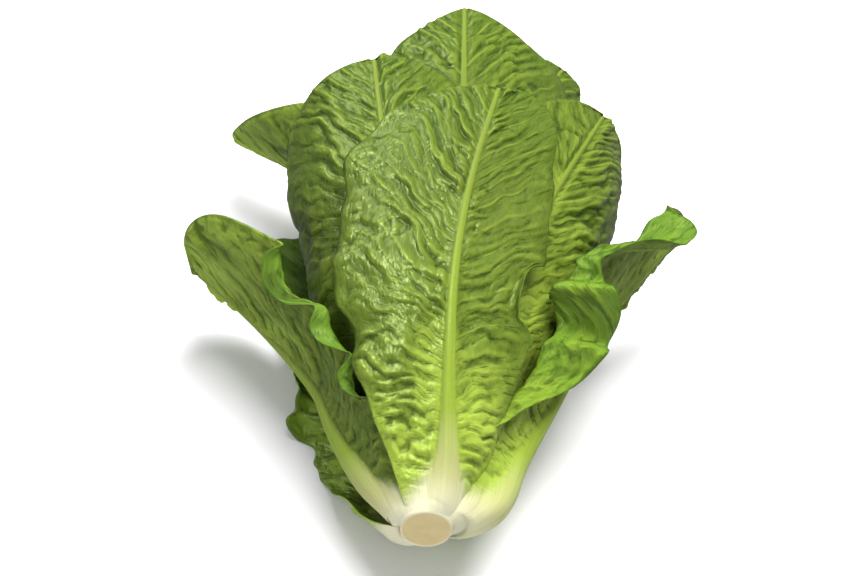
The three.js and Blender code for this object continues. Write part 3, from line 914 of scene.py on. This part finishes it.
def leafMaterial(name, finish):
    material, graph = newMaterial(name)
    leaf = leafPatterns(graph)
    color = bladeColor(graph, leaf, finish)
    color = veinLines(graph, leaf, finish, color)
    creases = creaseLines(graph, leaf)
    # painted shade along the creases
    color = graph.mixed(creases, color, finish["deep"])
    color = footAndRib(graph, leaf, finish, color)
    gloss = graph.timesPlus(leaf.fleck, wetLook["fleck"], finish["roughness"])
    graph.shade({
        "Base Color": color, "Normal": fineRelief(graph, leaf, creases, finish),
        "Roughness": graph.timesPlus(leaf.stalk, wetLook["stalk"], gloss),
        "Specular IOR Level": wetLook["specular"], "Specular Tint": wetLook["tint"],
        "Subsurface Weight": wetLook["subsurface"], "Subsurface Scale": wetLook["scale"],
        "Subsurface Radius": wetLook["radius"],
    })
    return material


stemFinish = {
    "flesh": srgb(202, 188, 136), "ring": srgb(188, 170, 116), "skin": srgb(200, 197, 168),
    "spots": (260, 6), "edge": (0.9, 0.96), "roughness": 0.6,
    "bump": (0.4, 0.0006),  # strength and distance
    "subsurface": 0.2, "scale": 0.003,
}


def stemMaterial():
    look = stemFinish
    material, graph = newMaterial("stem_flesh")
    spots = graph.noise(graph.add("TexCoord", {}).outputs["Object"], *look["spots"])
    edge = graph.span(graph.surface("ring"), *look["edge"])
    flesh = graph.mixed(spots, look["flesh"], look["ring"])
    graph.shade({
        "Base Color": graph.mixed(edge, flesh, look["skin"]),
        "Normal": graph.bump(spots, *look["bump"]), "Roughness": look["roughness"],
        "Subsurface Weight": look["subsurface"], "Subsurface Scale": look["scale"],
    })
    return material


stemShape = {
    "sides": 96, "rings": 60, "faceRings": 14, "merge": 1e-6,
    "collar": 0.4, "collarEnd": (2, 20), "lean": 0.13, "leanEnd": 12,
    "dish": 0.5, "rough": 0.25, "roughScale": 4, "roughSeed": 3, "faceDepth": 0.01,
}


def stemTurning():  # the cut face, the side and the far end, turned, with length and radius 1
    form = bmesh.new()
    faceRings, rings = stemShape["faceRings"], stemShape["rings"]
    profile = [form.verts.new((ring / faceRings, 0, 0)) for ring in range(faceRings + 1)]
    profile += [form.verts.new((1, step / rings, 0)) for step in range(1, rings + 1)]
    profile.append(form.verts.new((0, 1, 0)))
    edges = [form.edges.new(pair) for pair in zip(profile, profile[1:])]
    bmesh.ops.spin(form, geom=profile + edges, cent=(0, 0, 0), axis=(0, 1, 0),
                   angle=2 * math.pi, steps=stemShape["sides"], use_merge=True)
    bmesh.ops.remove_doubles(form, verts=form.verts, dist=stemShape["merge"])
    bmesh.ops.recalc_face_normals(form, faces=form.faces)
    return asMesh(form, "stem_core")


def stemPiece(material):
    mesh = stemTurning()
    wide, deep, tall = vertexPlaces(mesh).T
    ring = np.hypot(wide, tall)
    along = deep * head.stemLength
    collar = stemShape["collar"] * (1 - ramp(along, *stemShape["collarEnd"]))
    radius = stemRadiusAt(along) + collar
    x, y, z = axisPoint(along)
    onFace = along < stemShape["faceDepth"]
    scale = stemShape["roughScale"]
    rough = stemShape["rough"] * slowNoise(wide * scale, tall * scale, stemShape["roughSeed"])
    dent = np.where(onFace, stemShape["dish"] * (1 - ring ** 2) + rough * (1 - ring), 0)
    lean = stemShape["lean"] * (1 - ramp(along, 0, stemShape["leanEnd"]))
    forward = lean * (tall - 1) * radius
    placed = np.stack([x + wide * radius, y + np.maximum(dent, 0) + forward,
                       z + tall * radius], axis=-1)
    mesh.vertices.foreach_set("co", (placed * mm).ravel())
    addValues(mesh, "ring", np.where(onFace, ring, 1.0))
    mesh.polygons.foreach_set("use_smooth", [True] * len(mesh.polygons))
    return addObject(mesh, [material])


outer = leafMaterial("leaf_outer_face", outerFinish)
inner = leafMaterial("leaf_inner_face", innerFinish)
heart = leafMaterial("heart_leaf", heartFinish)

level = 1.0
for order, entry in enumerate(leaves):
    leaf = {**leafDefaults, **entry}
    if order > 0:
        level -= head.shellStep * leaf["step"]
    leaf["level"] = level
    leaf["start"] = leafStart(level)
    isHeart = leaf["name"] == "leaf_heart"
    piece = leafPiece(leaf, (heart, heart) if isHeart else (outer, inner))
    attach(piece, "root")
    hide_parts(leaf["name"])
print("leaves made")

stem = stemPiece(stemMaterial())
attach(stem, "root")
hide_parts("stem")
print("stem made")

paper = {"half": 3, "color": (0.93, 0.92, 0.98, 1), "roughness": 0.9, "specular": 0.1}


def floorPiece():
    material, graph = newMaterial("floor_paper")
    graph.shade({"Base Color": paper["color"], "Roughness": paper["roughness"],
                 "Specular IOR Level": paper["specular"]})
    form = bmesh.new()
    bmesh.ops.create_grid(form, x_segments=1, y_segments=1, size=paper["half"])
    return addObject(asMesh(form, "floor"), [material])


floor = floorPiece()
floor.visible_glossy = False

studio = {"color": (0.97, 0.975, 0.95, 1), "brightness": (-0.2, 1.0, 0.24, 0.42)}


def studioWorld():  # brighter towards the top
    world = bpy.data.worlds.new("studio")
    world.use_nodes = True
    graph = NodeGraph(world.node_tree)
    heading = graph.add("TexCoord", {}).outputs["Generated"]
    up = graph.add("SeparateXYZ", {0: heading}).outputs["Z"]
    background = graph.nodes["Background"]
    graph.join(background.inputs["Color"], studio["color"])
    graph.join(background.inputs["Strength"], graph.span(up, *studio["brightness"]))
    return world


# What the lights aim at, and the lights: places and sizes in metres, power in watts, and
# whether a light makes diffuse light or gloss.
aimPoint = (0.0, -0.02, 0.05)
lights = [
    {"name": "key", "place": (0.29, 0.34, 1.16), "size": 1.0, "power": 35.5,
     "color": (1, 0.99, 0.96), "part": "diffuse"},
    {"name": "fill", "place": (-0.9, -0.7, 0.6), "size": 0.9, "power": 4.5,
     "color": (1, 1, 1), "part": "diffuse"},
    {"name": "sheen", "place": (-0.6, 0.66, 0.8), "size": 0.55, "power": 7,
     "color": (1, 1, 0.88), "part": "gloss"},
    {"name": "sparkle", "place": (-0.4, -0.02, 1.0), "size": 0.3, "power": 10,
     "color": (1, 1, 0.88), "part": "gloss"},
]


def softLight(light):
    lamp = bpy.data.lights.new(light["name"], "AREA")
    lamp.shape = "DISK"
    lamp.size = light["size"]
    lamp.energy = light["power"]
    lamp.color = light["color"]
    holder = bpy.data.objects.new(light["name"], lamp)
    holder.location = light["place"]
    aimX, aimY, aimZ = np.array(aimPoint) - np.array(light["place"])
    distance = math.hypot(aimX, aimY)
    holder.rotation_euler = (math.atan2(distance, -aimZ), 0, math.atan2(-aimX, aimY))
    holder.visible_diffuse = light["part"] == "diffuse"
    holder.visible_glossy = light["part"] == "gloss"
    bpy.context.collection.objects.link(holder)


# the target and the distance in millimetres, like the head
cameraPlace = {"target": (-6.5, -18.4, 59.7), "distance": 1150, "elevation": 52,
               "lens": 104.2, "sensor": 36, "nearest": 0.05}


def cameraPiece():
    camera = bpy.data.cameras.new("camera")
    camera.lens = cameraPlace["lens"]
    camera.sensor_width = cameraPlace["sensor"]
    camera.clip_start = cameraPlace["nearest"]
    view = bpy.data.objects.new("camera", camera)
    tilt = math.radians(cameraPlace["elevation"])
    x, y, z = cameraPlace["target"]
    distance = cameraPlace["distance"]
    view.location = (x * mm, (y - distance * math.cos(tilt)) * mm,
                     (z + distance * math.sin(tilt)) * mm)
    view.rotation_euler = (math.pi / 2 - tilt, 0, 0)
    bpy.context.collection.objects.link(view)
    return view


scene = bpy.context.scene
scene.world = studioWorld()
scene.view_settings.view_transform = "Standard"
for light in lights:
    softLight(light)
scene.camera = cameraPiece()
print("camera and light set")
